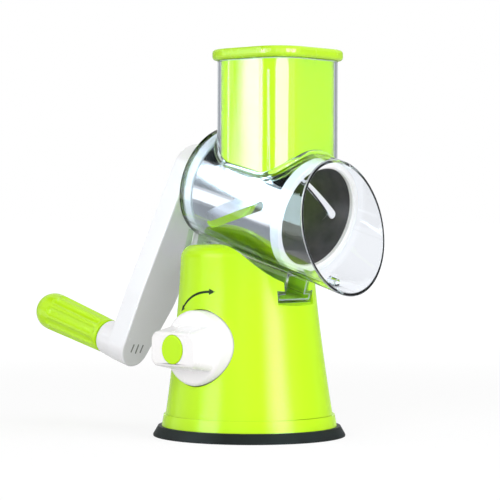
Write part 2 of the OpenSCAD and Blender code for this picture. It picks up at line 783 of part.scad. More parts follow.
module grip_spindle() {
    root = arm_t + collar_l - spindle_root;
    color(steel) {
        along_grip(root) cylinder(h = spindle_l, r = spindle_r);
        along_grip(root + spindle_l - spindle_head_l) cylinder(h = spindle_head_l, r = spindle_head_r);
    }
}

// Outline of the grip: a taper from the collar to the bulb and a round dome
module grip_outline() {
    dome = grip_r_far;
    polygon(concat(
        [[0, 0], [grip_r_near - over / 2, 0], [grip_r_near, over / 2], [grip_r_far, grip_l - dome]],
        [for (i = [1 : outline_steps]) let(a = 90 * i / outline_steps)
            [grip_r_far * cos(a), grip_l - dome + dome * sin(a)]]));
}

module grip() {
    start = arm_t + collar_l + slide_gap;
    root = arm_t + collar_l - spindle_root;
    head_at = root + spindle_l - spindle_head_l;
    color(lime) difference() {
        along_grip(start) rotate_extrude() grip_outline();
        along_grip(start - over) cylinder(h = head_at - start + over, r = spindle_r + run_gap);
        along_grip(head_at - slide_gap)
            cylinder(h = spindle_head_l + 2 * slide_gap, r = spindle_head_r + slide_gap);
        for (i = [0 : flute_count - 1]) along_grip(start) rotate(i * 360 / flute_count)
            translate([grip_r_near + flute_r - flute_d, 0, flute_near]) {
                rotate([0, atan((grip_r_far - grip_r_near) / grip_l), 0]) {
                    cylinder(h = grip_l - 2 * grip_r_far, r = flute_r);
                    sphere(flute_r);
                    translate([0, 0, grip_l - 2 * grip_r_far]) sphere(flute_r);
                }
            }
    }
}

base_shell();
skirt_ring();
suction_pad();
guide_plate();
plate_screws();
lift_stem();
stem_spring();
cam_shaft();
lock_knob();
knob_screw();
knob_cap();
clear_housing();
rear_bush();
pusher_body();
pusher_lid();
drum_sleeve();
drum_front_ring();
drum_rear_ring();
drum_hub();
drive_shaft();
crank_arm();
crank_screw();
grip_spindle();
grip();
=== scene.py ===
import json
import math

import bmesh
import bpy
from bpy.props import FloatProperty, FloatVectorProperty, IntProperty, PointerProperty
from mathutils import Matrix, Vector
from mathutils.bvhtree import BVHTree


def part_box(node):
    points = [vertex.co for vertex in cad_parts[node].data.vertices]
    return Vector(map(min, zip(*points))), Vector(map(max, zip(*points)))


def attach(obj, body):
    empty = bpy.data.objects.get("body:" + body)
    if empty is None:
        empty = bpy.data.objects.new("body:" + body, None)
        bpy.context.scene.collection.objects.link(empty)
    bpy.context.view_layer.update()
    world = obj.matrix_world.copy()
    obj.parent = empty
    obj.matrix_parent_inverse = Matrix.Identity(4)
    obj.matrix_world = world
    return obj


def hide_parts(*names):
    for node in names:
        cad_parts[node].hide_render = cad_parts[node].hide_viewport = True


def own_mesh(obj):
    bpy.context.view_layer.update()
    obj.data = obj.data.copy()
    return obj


bl_info = {
    "name": "Drum shredder builder",
    "version": (1, 0, 0),
    "blender": (4, 5, 0),
    "location": "View3D > Sidebar > Shredder",
    "description": "Dresses the packed drum shredder: mouldings, steel, rubber and the studio",
    "category": "Object",
}

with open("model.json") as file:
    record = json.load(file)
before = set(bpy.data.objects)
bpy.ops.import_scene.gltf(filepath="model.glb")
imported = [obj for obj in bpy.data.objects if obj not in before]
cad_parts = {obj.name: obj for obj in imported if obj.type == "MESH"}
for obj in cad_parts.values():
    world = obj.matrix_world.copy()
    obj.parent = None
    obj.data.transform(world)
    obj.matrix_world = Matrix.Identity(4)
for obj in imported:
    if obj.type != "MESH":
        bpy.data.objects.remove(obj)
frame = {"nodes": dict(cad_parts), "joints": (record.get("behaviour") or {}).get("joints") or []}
NODES = frame["nodes"]
MM = 0.001


def joint(name, joints=frame["joints"]):
    """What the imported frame, or another list of joints, says about one joint."""
    return next(j for j in joints if j["name"] == name)


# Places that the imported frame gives; the drum's axis is turned to point out of the mouth
DRUM_AXIS = Vector(joint("drum_spin")["axis"]).normalized()
DRUM_AXIS *= -1 if DRUM_AXIS.y > 0 else 1
DRUM_POINT = Vector(joint("drum_spin")["pos_m"])
GRIP_POINT = Vector(joint("grip_spin")["pos_m"])
KNOB_POINT = Vector(joint("lock_knob_turn")["pos_m"])


def axis_frame(origin, out, up):
    """Matrix whose Z runs along out and whose Y is as near up as it can be."""
    z = Vector(out).normalized()
    x = Vector(up).cross(z).normalized()
    y = z.cross(x)
    m = Matrix((x, y, z)).transposed().to_4x4()
    m.translation = origin
    return m


BARREL = axis_frame(DRUM_POINT, DRUM_AXIS, (0, 0, 1))

# Limits of the mesh work
SAME_POINT = 1e-6
FLAT = math.radians(0.4)
SHARP = math.radians(35)
MARGIN = 0.5 * MM  # allowance when faces are sorted by where they lie
SKIN = 0.05 * MM  # the same for the drum's thin sheet
SQUARE = 0.97  # how square to the drum's radius a face of its skin stands
INWARD = -0.5  # how far a face of the sheet looks inwards before it is left dull
OUTSIDE = 0.1  # a distance from the middle that lies outside every piece

# Material slots of the clear housing after its first, and those of the drum's sleeve
NECK, RIM, RAIL, STOP = range(1, 5)
POLISHED, DULL, CUT = range(3)

# Steps round the printed arc, and along a corner and a side of the hopper
ARC_STEPS = 28
CORNER_STEPS = 8
SIDE_STEPS = 6
# Rounds after which the radius of the barrel's cone is settled
CONE_ROUNDS = 4

# Proportions of the arrow's heads, in half widths of its line
HEAD_HALF = 2.6
HEAD_LENGTH = 6

# Strokes on the arm: foot and head of each, as x and z in millimetres
STROKES = (
    ((-36.1, 50.3), (-34.7, 54.9)),
    ((-32.0, 49.4), (-30.6, 54.7)),
    ((-27.9, 49.6), (-26.5, 54.2)),
)


# Sizes and colours that a user would change


class BaseSettings(bpy.types.PropertyGroup):
    lime: FloatVectorProperty(
        name="Lime", description="Colour of the lime mouldings", subtype="COLOR", size=3,
        min=0, max=1, default=(0.530, 0.890, 0.010))
    grain: FloatProperty(
        name="Moulded grain", description="Depth of the fine grain on the mouldings",
        default=0.003 * MM, min=0, max=0.1 * MM, unit="LENGTH", precision=6)
    arrow_radius: FloatProperty(
        name="Arrow radius", description="Radius of the printed arc arrow above the knob",
        default=33.4 * MM, min=30 * MM, max=50 * MM, unit="LENGTH", precision=5)
    arrow_shift: FloatProperty(
        name="Arrow shift", description="How far the arc's centre lies behind the knob's",
        default=-6 * MM, min=-20 * MM, max=20 * MM, unit="LENGTH", precision=5)
    arrow_rise: FloatProperty(
        name="Arrow rise", description="How far the arc's centre lies above the knob's",
        default=1 * MM, min=-20 * MM, max=20 * MM, unit="LENGTH", precision=5)
    arrow_line: FloatProperty(
        name="Arrow line", description="Width of the printed line",
        default=1.5 * MM, min=0.2 * MM, max=3 * MM, unit="LENGTH", precision=5)
    arrow_from: FloatProperty(
        name="Arrow start", description="Angle of the arrow's rear end above the horizontal",
        default=math.radians(45), min=0, max=math.pi, subtype="ANGLE")
    arrow_to: FloatProperty(
        name="Arrow end", description="Angle of the arrow's front end above the horizontal",
        default=math.radians(89), min=0, max=math.pi, subtype="ANGLE")
    ink: FloatProperty(
        name="Ink", description="Thickness of the printed line",
        default=0.08 * MM, min=0.01 * MM, max=0.5 * MM, unit="LENGTH", precision=6)
    ink_lift: FloatProperty(
        name="Ink lift", description="How far the printed line stands off the tower's wall",
        default=0.03 * MM, min=0, max=0.5 * MM, unit="LENGTH", precision=6)


class KnobSettings(bpy.types.PropertyGroup):
    edge: FloatProperty(
        name="Knob edge", description="Radius on the edges of the knob",
        default=1.2 * MM, min=0.1 * MM, max=3 * MM, unit="LENGTH", precision=5)
    bore: FloatProperty(
        name="Knob bore", description="Reach about the knob's axis in which edges stay sharp",
        default=9.4 * MM, min=0, max=20 * MM, unit="LENGTH", precision=5)
    cap_edge: FloatProperty(
        name="Cap edge", description="Radius on the front edge of the cap",
        default=0.5 * MM, min=0.1 * MM, max=1 * MM, unit="LENGTH", precision=5)
    cap_face: FloatProperty(
        name="Cap face", description="Depth behind the cap's face in which edges are rounded",
        default=1 * MM, min=0, max=5 * MM, unit="LENGTH", precision=5)


class HousingSettings(bpy.types.PropertyGroup):
    hopper: FloatProperty(
        name="Hopper width", description="Outer width of the square hopper",
        default=63.8 * MM, min=30 * MM, max=90 * MM, unit="LENGTH", precision=5)
    corner: FloatProperty(
        name="Hopper corner", description="Outer corner radius of the hopper",
        default=18.5 * MM, min=5 * MM, max=30 * MM, unit="LENGTH", precision=5)
    hopper_front: FloatProperty(
        name="Hopper forward", description="How far the hopper's middle lies before the foot's",
        default=23 * MM, min=0, max=60 * MM, unit="LENGTH", precision=5)
    barrel: FloatProperty(
        name="Barrel radius", description="Outer radius of the barrel at its rear end",
        default=36.4 * MM, min=20 * MM, max=60 * MM, unit="LENGTH", precision=5)
    barrel_back: FloatProperty(
        name="Barrel rear", description="Length of the barrel behind the tower's middle",
        default=26 * MM, min=0, max=60 * MM, unit="LENGTH", precision=5)
    barrel_slope: FloatProperty(
        name="Barrel slope", description="Growth of the barrel's radius for each length forward",
        default=1.7 / 106.2, min=0, max=0.2, precision=5)
    bead: FloatProperty(
        name="Neck bead", description="Radius of the bead where the hopper meets the barrel",
        default=1.9 * MM, min=0.5 * MM, max=4 * MM, unit="LENGTH", precision=5)
    bead_steps: IntProperty(
        name="Bead steps", description="Faces round the bead", default=16, min=6, max=48)
    rim: FloatProperty(
        name="Rim edge", description="Radius on the rims of the mouth and the hopper",
        default=0.6 * MM, min=0.1 * MM, max=1 * MM, unit="LENGTH", precision=5)
    rail_half: FloatProperty(
        name="Rail half width", description="Reach to either side in which the rail lies",
        default=17 * MM, min=0, max=40 * MM, unit="LENGTH", precision=5)
    rail_end: FloatProperty(
        name="Rail end", description="Reach along the drum's axis in which the rail lies",
        default=50 * MM, min=0, max=100 * MM, unit="LENGTH", precision=5)


class DrumSettings(bpy.types.PropertyGroup):
    radius: FloatProperty(
        name="Sleeve radius",
        description="Outer radius of the sleeve where the crank's axis is measured",
        default=33.26 * MM, min=20 * MM, max=60 * MM, unit="LENGTH", precision=5)
    taper: FloatProperty(
        name="Sleeve taper", description="Growth of the radius for each length towards the mouth",
        default=1.3 / 79.5, min=0, max=0.2, precision=5)
    sheet: FloatProperty(
        name="Sheet", description="Thickness of the steel sheet",
        default=0.8 * MM, min=0.2 * MM, max=2 * MM, unit="LENGTH", precision=5)


class CrankSettings(bpy.types.PropertyGroup):
    edge: FloatProperty(
        name="Arm edge", description="Radius on the edges of the arm",
        default=2.4 * MM, min=0.1 * MM, max=4 * MM, unit="LENGTH", precision=5)
    shaft_bore: FloatProperty(
        name="Shaft bore", description="Reach about the shaft in which the arm's edges stay sharp",
        default=11 * MM, min=0, max=20 * MM, unit="LENGTH", precision=5)
    spindle_bore: FloatProperty(
        name="Spindle bore", description="The same reach about the grip's spindle",
        default=6 * MM, min=0, max=20 * MM, unit="LENGTH", precision=5)
    mark_width: FloatProperty(
        name="Stroke width", description="Width of a stroke on the arm",
        default=0.95 * MM, min=0.2 * MM, max=3 * MM, unit="LENGTH", precision=5)
    mark_over: FloatProperty(
        name="Stroke overlap", description="How much longer a stroke is than its ends are apart",
        default=0.6 * MM, min=0, max=3 * MM, unit="LENGTH", precision=5)
    mark_height: FloatProperty(
        name="Stroke height", description="Height of a stroke, half of it sunk into the arm",
        default=0.3 * MM, min=0.1 * MM, max=1 * MM, unit="LENGTH", precision=5)
    mark_corner: FloatProperty(
        name="Stroke corner", description="Corner radius of a stroke",
        default=0.4 * MM, min=0.1 * MM, max=1 * MM, unit="LENGTH", precision=5)


class StageSettings(bpy.types.PropertyGroup):
    eye_distance: FloatProperty(
        name="Eye distance", description="Distance of the camera from the middle of the foot",
        default=1.3, min=0.5, max=4, unit="LENGTH")
    eye_height: FloatProperty(
        name="Eye height", description="Height of the camera above the table",
        default=0.1349, min=0, max=1, unit="LENGTH")
    eye_azimuth: FloatProperty(
        name="Eye azimuth", description="Direction in which the camera looks, about the vertical",
        default=math.radians(-47), min=-math.pi, max=math.pi, subtype="ANGLE")
    key_power: FloatProperty(
        name="Key lamp", description="Power of the lamp at the left front",
        default=7.5, min=0, max=100, unit="POWER")
    fill_power: FloatProperty(
        name="Fill lamp", description="Power of the lamp at the right front",
        default=7.5, min=0, max=100, unit="POWER")
    top_power: FloatProperty(
        name="Top lamp", description="Power of the lamp overhead",
        default=3, min=0, max=100, unit="POWER")


# Mesh helpers


def add_object(name, data):
    """Puts new data into the scene as an object."""
    thing = bpy.data.objects.new(name, data)
    bpy.context.scene.collection.objects.link(thing)
    return thing


def mesh_object(name, bm):
    """Turns a bmesh into an object at the origin."""
    mesh = bpy.data.meshes.new(name)
    bm.to_mesh(mesh)
    bm.free()
    return add_object(name, mesh)


def finish_piece(bm, name, body, slot, *materials, smooth_angle=35):
    """Makes a smoothly shaded piece that rides on a body."""
    piece = mesh_object(name, bm)
    mesh = piece.data
    for material in materials:
        mesh.materials.append(finish(material))
    for face in mesh.polygons:
        face.use_smooth = True
    mesh.set_sharp_from_angle(angle=math.radians(smooth_angle))
    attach(piece, body)
    return piece


def node_copy(node):
    """A copy of a CAD node with its doubled points merged."""
    bm = bmesh.new()
    bm.from_mesh(NODES[node].data)
    bmesh.ops.remove_doubles(bm, verts=bm.verts, dist=SAME_POINT)
    return bm


def chains(edges):
    """Edges that touch one another, gathered into groups."""
    left = dict.fromkeys(edges)
    groups = []
    while left:
        group = [next(iter(left))]
        del left[group[0]]
        for edge in group:
            for near in [e for v in edge.verts for e in v.link_edges if e in left]:
                if near in left:
                    del left[near]
                    group.append(near)
        groups.append(group)
    return groups


def round_edges(bm, radius, segments=4, left_out=None):
    """Rounds the sharp edges as a mould leaves them; returns the new faces."""
    bmesh.ops.dissolve_limit(
        bm, angle_limit=FLAT, use_dissolve_boundaries=False, verts=bm.verts, edges=bm.edges)
    sharp = [
        e for e in bm.edges
        if len(e.link_faces) == 2 and e.calc_face_angle(0) > SHARP
        and not (left_out and left_out((e.verts[0].co + e.verts[1].co) / 2))]
    rounded = []
    for group in chains(sharp):
        made = bmesh.ops.bevel(
            bm, geom=group, offset=radius, offset_type="OFFSET", affect="EDGES",
            segments=segments, profile=0.5, material=-1, clamp_overlap=True)
        rounded += made["faces"]
    return rounded


def even_shading(piece):
    """Keeps flat faces flat beside their rounded edges."""
    even = piece.modifiers.new("Even shading", "WEIGHTED_NORMAL")
    even.keep_sharp = True


def rounded_copy(node, name, body, slot, material, radius, left_out):
    """A copy of a CAD node with its sharp edges rounded."""
    bm = node_copy(node)
    round_edges(bm, radius, left_out=left_out)
    piece = finish_piece(bm, name, body, slot, material, smooth_angle=40)
    even_shading(piece)
    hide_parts(node)
    return piece


def united(first, second, slot):
    """The union of two closed meshes as one bmesh, with the second one's faces in a slot."""
    things = []
    for face in second.faces:
        face.material_index = slot
    for bm in (first, second):
        thing = mesh_object("part of a union", bm)
        for place in range(slot + 1):
            thing.data.materials.append(None)
        things.append(thing)
    join = things[0].modifiers.new("Union", "BOOLEAN")
    join.operation = "UNION"
    join.solver = "EXACT"
    join.object = things[1]
    result = bmesh.new()
    result.from_object(things[0], bpy.context.evaluated_depsgraph_get())
    for thing in things:
        mesh = thing.data
        bpy.data.objects.remove(thing)
        bpy.data.meshes.remove(mesh)
    bmesh.ops.remove_doubles(result, verts=result.verts, dist=2 * SAME_POINT)
    return result


def on_surface(tree, start, way, lift=0):
    """Where a ray meets a CAD surface, lifted off it a little."""
    hit, normal = tree.ray_cast(start, way)[:2]
    if hit is None:
        raise RuntimeError("a printed mark misses the surface it belongs on")
    return hit + normal * lift


def surface_of(node):
    """A search tree of a CAD node's surface."""
    bm = node_copy(node)
    tree = BVHTree.FromBMesh(bm)
    bm.free()
    return tree


def paint(node, material):
    """Gives a CAD node its finished material."""
    slots = NODES[node].data.materials
    slots.clear()
    slots.append(finish(material))


# Materials


def set_inputs(node, **values):
    """Sets a node's inputs by name, with an underscore for each space."""
    for key, value in values.items():
        node.inputs[key.replace("_", " ")].default_value = value


def node_of(tree, kind, place, **inputs):
    """A new node at a place in the editor, with some of its inputs set."""
    node = tree.nodes.new(kind)
    node.location = place
    set_inputs(node, **inputs)
    return node


def worked_out(tree, operation, *values):
    """The output of a Math node that takes node outputs or plain numbers."""
    node = tree.nodes.new("ShaderNodeMath")
    node.operation = operation
    for socket, value in zip(node.inputs, values):
        if isinstance(value, bpy.types.NodeSocket):
            tree.links.new(value, socket)
        else:
            socket.default_value = value
    return node.outputs[0]


def mixed_surface(tree, share, first, second, out="Material Output"):
    """Mixes two shader nodes by a share and makes them the surface."""
    mix = node_of(tree, "ShaderNodeMixShader", (400, 0))
    tree.links.new(share, mix.inputs["Fac"])
    tree.links.new(first.outputs[0], mix.inputs[1])
    tree.links.new(second.outputs[0], mix.inputs[2])
    tree.links.new(mix.outputs["Shader"], tree.nodes[out].inputs["Surface"])


def new_material(name):
    """A new material, its node tree and its shader."""
    material = bpy.data.materials.new(name)
    material.use_nodes = True
    tree = material.node_tree
    return material, tree, tree.nodes["Principled BSDF"]


def object_coordinates(tree):
    """The output that gives a place on the object itself."""
    return node_of(tree, "ShaderNodeTexCoord", (-1200, 0)).outputs["Object"]


def noise_on(tree, scale, detail):
    """The value of a noise that is fixed to the object."""
    noise = node_of(tree, "ShaderNodeTexNoise", (-900, 0), Scale=scale, Detail=detail)
    tree.links.new(object_coordinates(tree), noise.inputs["Vector"])
    return noise.outputs["Fac"]


def vary_roughness(tree, shader, noise, glossy, dull):
    """Moves the roughness between two values with a noise."""
    rough = node_of(tree, "ShaderNodeMapRange", (-400, 0), To_Min=glossy, To_Max=dull)
    tree.links.new(noise, rough.inputs["Value"])
    tree.links.new(rough.outputs["Result"], shader.inputs["Roughness"])


def vary_colour(tree, shader, noise, dark, light):
    """Moves the base colour between two colours with a noise."""
    tone = node_of(tree, "ShaderNodeMix", (-400, 300))
    tone.data_type = "RGBA"
    set_inputs(tone, A=(*dark, 1), B=(*light, 1))
    tree.links.new(noise, tone.inputs["Factor"])
    tree.links.new(tone.outputs["Result"], shader.inputs["Base Color"])


def moulded_group():
    """Shared finish of moulded plastic: a faint cloudiness, fine grain and rubbed patches."""
    if "Moulded finish" in bpy.data.node_groups:
        return bpy.data.node_groups["Moulded finish"]
    tree = bpy.data.node_groups.new("Moulded finish", "ShaderNodeTree")
    for way, name, kind in (
            ("INPUT", "Vector", "Vector"), ("INPUT", "Colour", "Color"),
            ("INPUT", "Shade", "Color"), ("INPUT", "Gloss", "Float"), ("INPUT", "Wear", "Float"),
            ("OUTPUT", "Colour", "Color"), ("OUTPUT", "Roughness", "Float"),
            ("OUTPUT", "Height", "Float")):
        tree.interface.new_socket(name, in_out=way, socket_type="NodeSocket" + kind)
    start = tree.nodes.new("NodeGroupInput")
    end = node_of(tree, "NodeGroupOutput", (900, 0))
    cloud = node_of(tree, "ShaderNodeTexNoise", (200, 200), Scale=38.0, Detail=3.0)
    grain = node_of(tree, "ShaderNodeTexNoise", (200, -100), Scale=1500.0, Detail=2.0)
    rub = node_of(
        tree, "ShaderNodeTexNoise", (200, -400), Scale=140.0, Detail=5.0, Roughness=0.7)
    mix = node_of(tree, "ShaderNodeMix", (600, 200))
    mix.data_type = "RGBA"
    rough = node_of(tree, "ShaderNodeMapRange", (600, -300), From_Min=0.45, From_Max=0.75)
    worn = worked_out(tree, "ADD", start.outputs["Gloss"], start.outputs["Wear"])
    link = tree.links.new
    for noise in (cloud, grain, rub):
        link(start.outputs["Vector"], noise.inputs["Vector"])
    link(cloud.outputs["Fac"], mix.inputs["Factor"])
    link(start.outputs["Colour"], mix.inputs["A"])
    link(start.outputs["Shade"], mix.inputs["B"])
    link(rub.outputs["Fac"], rough.inputs["Value"])
    link(start.outputs["Gloss"], rough.inputs["To Min"])
    link(worn, rough.inputs["To Max"])
    link(mix.outputs["Result"], end.inputs["Colour"])
    link(rough.outputs["Result"], end.inputs["Roughness"])
    link(grain.outputs["Fac"], end.inputs["Height"])
    return tree


def moulded_plastic(name, colour, shade, gloss, wear, grain, shine):
    """Moulded plastic whose colour clouds into a shade and whose gloss is worn in patches."""
    material, tree, shader = new_material(name)
    group = node_of(tree, "ShaderNodeGroup", (-800, 0))
    group.node_tree = moulded_group()
    set_inputs(group, Colour=(*colour, 1), Shade=(*shade, 1), Gloss=gloss, Wear=wear)
    depth = bpy.context.scene.shredder_base.grain * grain
    bump = node_of(tree, "ShaderNodeBump", (-400, -200), Strength=0.6, Distance=depth)
    link = tree.links.new
    link(object_coordinates(tree), group.inputs["Vector"])
    link(group.outputs["Colour"], shader.inputs["Base Color"])
    link(group.outputs["Roughness"], shader.inputs["Roughness"])
    link(group.outputs["Height"], bump.inputs["Height"])
    link(bump.outputs["Normal"], shader.inputs["Normal"])
    set_inputs(shader, IOR=1.53, Specular_IOR_Level=shine)
    return material


def without_spill(material):
    """Lets a moulding throw plain grey light on its neighbours, as in the photo."""
    tree = material.node_tree
    path = node_of(tree, "ShaderNodeLightPath", (0, 400))
    plain = node_of(tree, "ShaderNodeBsdfDiffuse", (0, -400), Color=(0.5, 0.51, 0.5, 1))
    mixed_surface(
        tree, path.outputs["Is Diffuse Ray"], tree.nodes["Principled BSDF"], plain)


def polished_steel(name):
    """Rolled and polished sheet: fine lines round the drum."""
    material, tree, shader = new_material(name)
    mapping = node_of(
        tree, "ShaderNodeMapping", (-1000, 0),
        Rotation=(-math.acos(-DRUM_AXIS.z), 0, 0), Scale=(6, 900, 6))
    lines = node_of(tree, "ShaderNodeTexNoise", (-700, -200), Scale=1.0, Detail=4.0)
    tree.links.new(object_coordinates(tree), mapping.inputs["Vector"])
    tree.links.new(mapping.outputs["Vector"], lines.inputs["Vector"])
    vary_roughness(tree, shader, lines.outputs["Fac"], 0.05, 0.13)
    set_inputs(shader, Base_Color=(0.72, 0.725, 0.735, 1), Metallic=1)
    return material


def satin_steel(name):
    """The inside of the drum: rolled sheet left dull, its colour darkened as painted shade, with a
    faint painted glow for light bounced inside it.
    """
    material, tree, shader = new_material(name)
    noise = noise_on(tree, 70.0, 6.0)
    # the dark colours are painted shade inside the drum; the noise between them varies at random
    vary_colour(tree, shader, noise, (0.04, 0.037, 0.042), (0.22, 0.205, 0.225))
    vary_roughness(tree, shader, noise, 0.16, 0.3)
    # a faint painted glow that stands in for light bounced about inside the drum
    set_inputs(
        shader, Metallic=0.3, Emission_Color=(0.9, 0.88, 1, 1), Emission_Strength=0.012)
    return material


def plated_steel(name):
    """Bright plate on screws and spindles, and the blanked edges of the sheet."""
    material, tree, shader = new_material(name)
    vary_roughness(tree, shader, noise_on(tree, 600.0, 4.0), 0.22, 0.4)
    set_inputs(shader, Base_Color=(0.56, 0.57, 0.6, 1), Metallic=1)
    return material


def clear_plastic(name, clarity, dullest, tint, bend):
    """Clear moulding: gloss with a faint haze, and a tint."""
    material, tree, shader = new_material(name)
    vary_roughness(tree, shader, noise_on(tree, 30.0, 3.0), 0.0, dullest)
    set_inputs(shader, Base_Color=(*tint, 1), Transmission_Weight=clarity, IOR=bend)
    path = node_of(tree, "ShaderNodeLightPath", (0, 400))
    through = node_of(tree, "ShaderNodeBsdfTransparent", (0, -400), Color=(0.9, 0.92, 0.93, 1))
    mixed_surface(tree, path.outputs["Is Shadow Ray"], shader, through)
    return material


def black_rubber(name):
    """Dull rubber with a fine skin."""
    material, tree, shader = new_material(name)
    skin = noise_on(tree, 900.0, 4.0)
    vary_colour(
        tree, shader, noise_on(tree, 60.0, 3.0), (0.004, 0.006, 0.0055), (0.009, 0.012, 0.011))
    vary_roughness(tree, shader, skin, 0.38, 0.62)
    bump = node_of(tree, "ShaderNodeBump", (-400, -300), Strength=0.5, Distance=0.02 * MM)
    tree.links.new(skin, bump.inputs["Height"])
    tree.links.new(bump.outputs["Normal"], shader.inputs["Normal"])
    set_inputs(shader, Specular_IOR_Level=0.18)
    return material


# Lime mouldings: tint of the lime, share of it in the clouds, then as for the other mouldings
LIME_FINISHES = {
    "Lime moulding": ((1, 1, 1), 0.98, 0.24, 0.03, 1 / 2, 0.17),
    "Lime gloss moulding": ((1.08, 0.95, 1), 0.98, 0.03, 0.03, 1 / 6, 0.5),
    # the lid's lime is darkened by 0.87: painted shade on the lid
    "Lime lid moulding": ((0.87, 0.87, 0.87), 0.97, 0.24, 0.08, 1 / 2, 0.5),
    "Lime hub moulding": ((1, 1, 1), 0.9, 0.3, 0.1, 1, 0.5),
    "Lime grip moulding": ((1, 1, 1), 0.9, 0.16, 0.1, 1 / 2, 0.3),
}
# Other mouldings: colour, colour of the clouds, gloss, wear, share of the grain, shine
PLAIN_FINISHES = {
    "Printed mark": ((0.008, 0.02, 0.003), (0.012, 0.03, 0.005), 0.5, 0.1, 1, 0.1),
    # dark grey strokes on the white arm: painted shade of the moulded strokes
    "Grey stroke shade": ((0.2, 0.2, 0.2), (0.25, 0.25, 0.25), 0.5, 0.1, 1, 0.5),
    # the white's faint violet tint is painted light: it offsets the green light that the tower
    # throws on the arm
    "White moulding": ((0.87, 0.865, 0.885), (0.84, 0.835, 0.86), 0.2, 0.1, 1, 0.5),
    # a brighter copy of the white moulding: painted light on the knob, the drum's rings and its
    # shaft
    "White knob moulding": ((0.92, 0.9, 0.9), (0.9, 0.88, 0.88), 0.22, 0.1, 1, 0.5),
}
# Clear mouldings: clarity, dullest roughness, tint, bend of the light
CLEAR_FINISHES = {
    "Clear moulding": (1, 0.03, (0.89, 0.915, 0.96), 1.46),
    "Hazy moulded edge": (0.6, 0.12, (0.8, 0.83, 0.89), 1.12),
    "Hazy neck": (0.97, 0.05, (0.82, 0.9, 0.86), 1.46),
    "Hazy rail": (0.97, 0.1, (0.8, 0.88, 0.72), 1.08),
    "Frosted stop": (0.15, 0.3, (0.97, 0.97, 0.975), 1.46),
}
OTHER_FINISHES = {
    "Polished steel": polished_steel,
    "Satin steel": satin_steel,
    "Zinc plated steel": plated_steel,
    "Cut steel": plated_steel,
    "Black rubber": black_rubber,
}


def lime_moulding(name, tint, cloud, *skin):
    """A moulding in a tint of the lime."""
    base = bpy.context.scene.shredder_base
    colour = tuple(c * t for c, t in zip(base.lime, tint))
    material = moulded_plastic(name, colour, tuple(c * cloud for c in colour), *skin)
    if name == "Lime moulding":
        without_spill(material)
    if name == "Lime hub moulding":
        # the hub glows in its own lime: painted light inside the drum, where little lamp light
        # reaches
        shader = material.node_tree.nodes["Principled BSDF"]
        set_inputs(shader, Emission_Color=(*colour, 1), Emission_Strength=0.32)
    return material


def finish(name):
    """One of the object's finishes, made on first use."""
    if name in bpy.data.materials:
        return bpy.data.materials[name]
    if name in LIME_FINISHES:
        return lime_moulding(name, *LIME_FINISHES[name])
    if name in PLAIN_FINISHES:
        return moulded_plastic(name, *PLAIN_FINISHES[name])
    if name in CLEAR_FINISHES:
        return clear_plastic(name, *CLEAR_FINISHES[name])
    return OTHER_FINISHES[name](name)


# Operators


class SHREDDER_OT_base(bpy.types.Operator):
    """Finish the tower, the skirt ring and the rubber foot"""

    bl_idname = "shredder.base"
    bl_label = "Base"

    def execute(self, context):
        for node in ("base_shell", "skirt_ring"):
            paint(node, "Lime moulding")
        for node in ("guide_plate", "lift_stem"):
            paint(node, "White moulding")
        paint("suction_pad", "Black rubber")
        paint("plate_screws", "Zinc plated steel")
        self.spring()
        self.arrow()
        return {"FINISHED"}

    def spring(self):
        """The coil over the stem, with a mesh of its own."""
        piece = finish_piece(
            node_copy("stem_spring"), "coil_spring", "base", "zinc", "Zinc plated steel")
        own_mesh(piece)
        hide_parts("stem_spring")

    def arrow(self):
        """The printed arc with a head at each end, which shows how the knob turns."""
        base = bpy.context.scene.shredder_base
        half = base.arrow_line / 2

        def on_arc(angle, radius):
            return Vector((0, math.cos(angle), math.sin(angle))) * radius

        bm = bmesh.new()
        ends = [
            bm.verts.new(on_arc(base.arrow_from, base.arrow_radius + side))
            for side in (-half, half)]
        bmesh.ops.spin(
            bm, geom=[*ends, bm.edges.new(ends)], cent=(0, 0, 0), axis=(1, 0, 0),
            angle=base.arrow_to - base.arrow_from, steps=ARC_STEPS, use_duplicate=False)
        for angle, way in ((base.arrow_from, -1), (base.arrow_to, 1)):
            along = Vector((0, -math.sin(angle), math.cos(angle))) * way
            corners = [
                on_arc(angle, base.arrow_radius - HEAD_HALF * half),
                on_arc(angle, base.arrow_radius + HEAD_HALF * half),
                on_arc(angle, base.arrow_radius) + along * HEAD_LENGTH * half]
            bm.faces.new([bm.verts.new(c) for c in corners])
        bmesh.ops.subdivide_edges(bm, edges=bm.edges, cuts=1, use_grid_fill=True)
        middle = KNOB_POINT + Vector((0, base.arrow_shift, base.arrow_rise))
        shell = surface_of("base_shell")
        for vert in bm.verts:
            start = middle + vert.co
            start.x = -OUTSIDE
            vert.co = on_surface(shell, start, Vector((1, 0, 0)), base.ink_lift)
        bmesh.ops.triangulate(bm, faces=bm.faces)
        bmesh.ops.recalc_face_normals(bm, faces=bm.faces)
        if sum((f.normal for f in bm.faces), Vector()).x > 0:
            bmesh.ops.reverse_faces(bm, faces=bm.faces)
        bmesh.ops.solidify(bm, geom=bm.faces[:], thickness=base.ink)
        bmesh.ops.recalc_face_normals(bm, faces=bm.faces)
        finish_piece(bm, "knob_arrow", "base", "lime", "Printed mark")


class SHREDDER_OT_knob(bpy.types.Operator):
    """Finish the lock knob, its cap and its cam shaft"""

    bl_idname = "shredder.knob"
    bl_label = "Lock knob"

    def execute(self, context):
        sizes = bpy.context.scene.shredder_knob
        cap_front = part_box("knob_cap")[0][0]

        def in_bore(place):
            return (place - KNOB_POINT).yz.length < sizes.bore

        def behind_face(place):
            return place.x > cap_front + sizes.cap_face

        paint("cam_shaft", "White moulding")
        rounded_copy(
            "lock_knob", "knob_grip", "knob", "white", "White knob moulding", sizes.edge, in_bore)
        rounded_copy(
            "knob_cap", "knob_cap_domed", "knob", "lime", "Lime moulding", sizes.cap_edge,
            behind_face)
        paint("knob_screw", "Zinc plated steel")
        return {"FINISHED"}


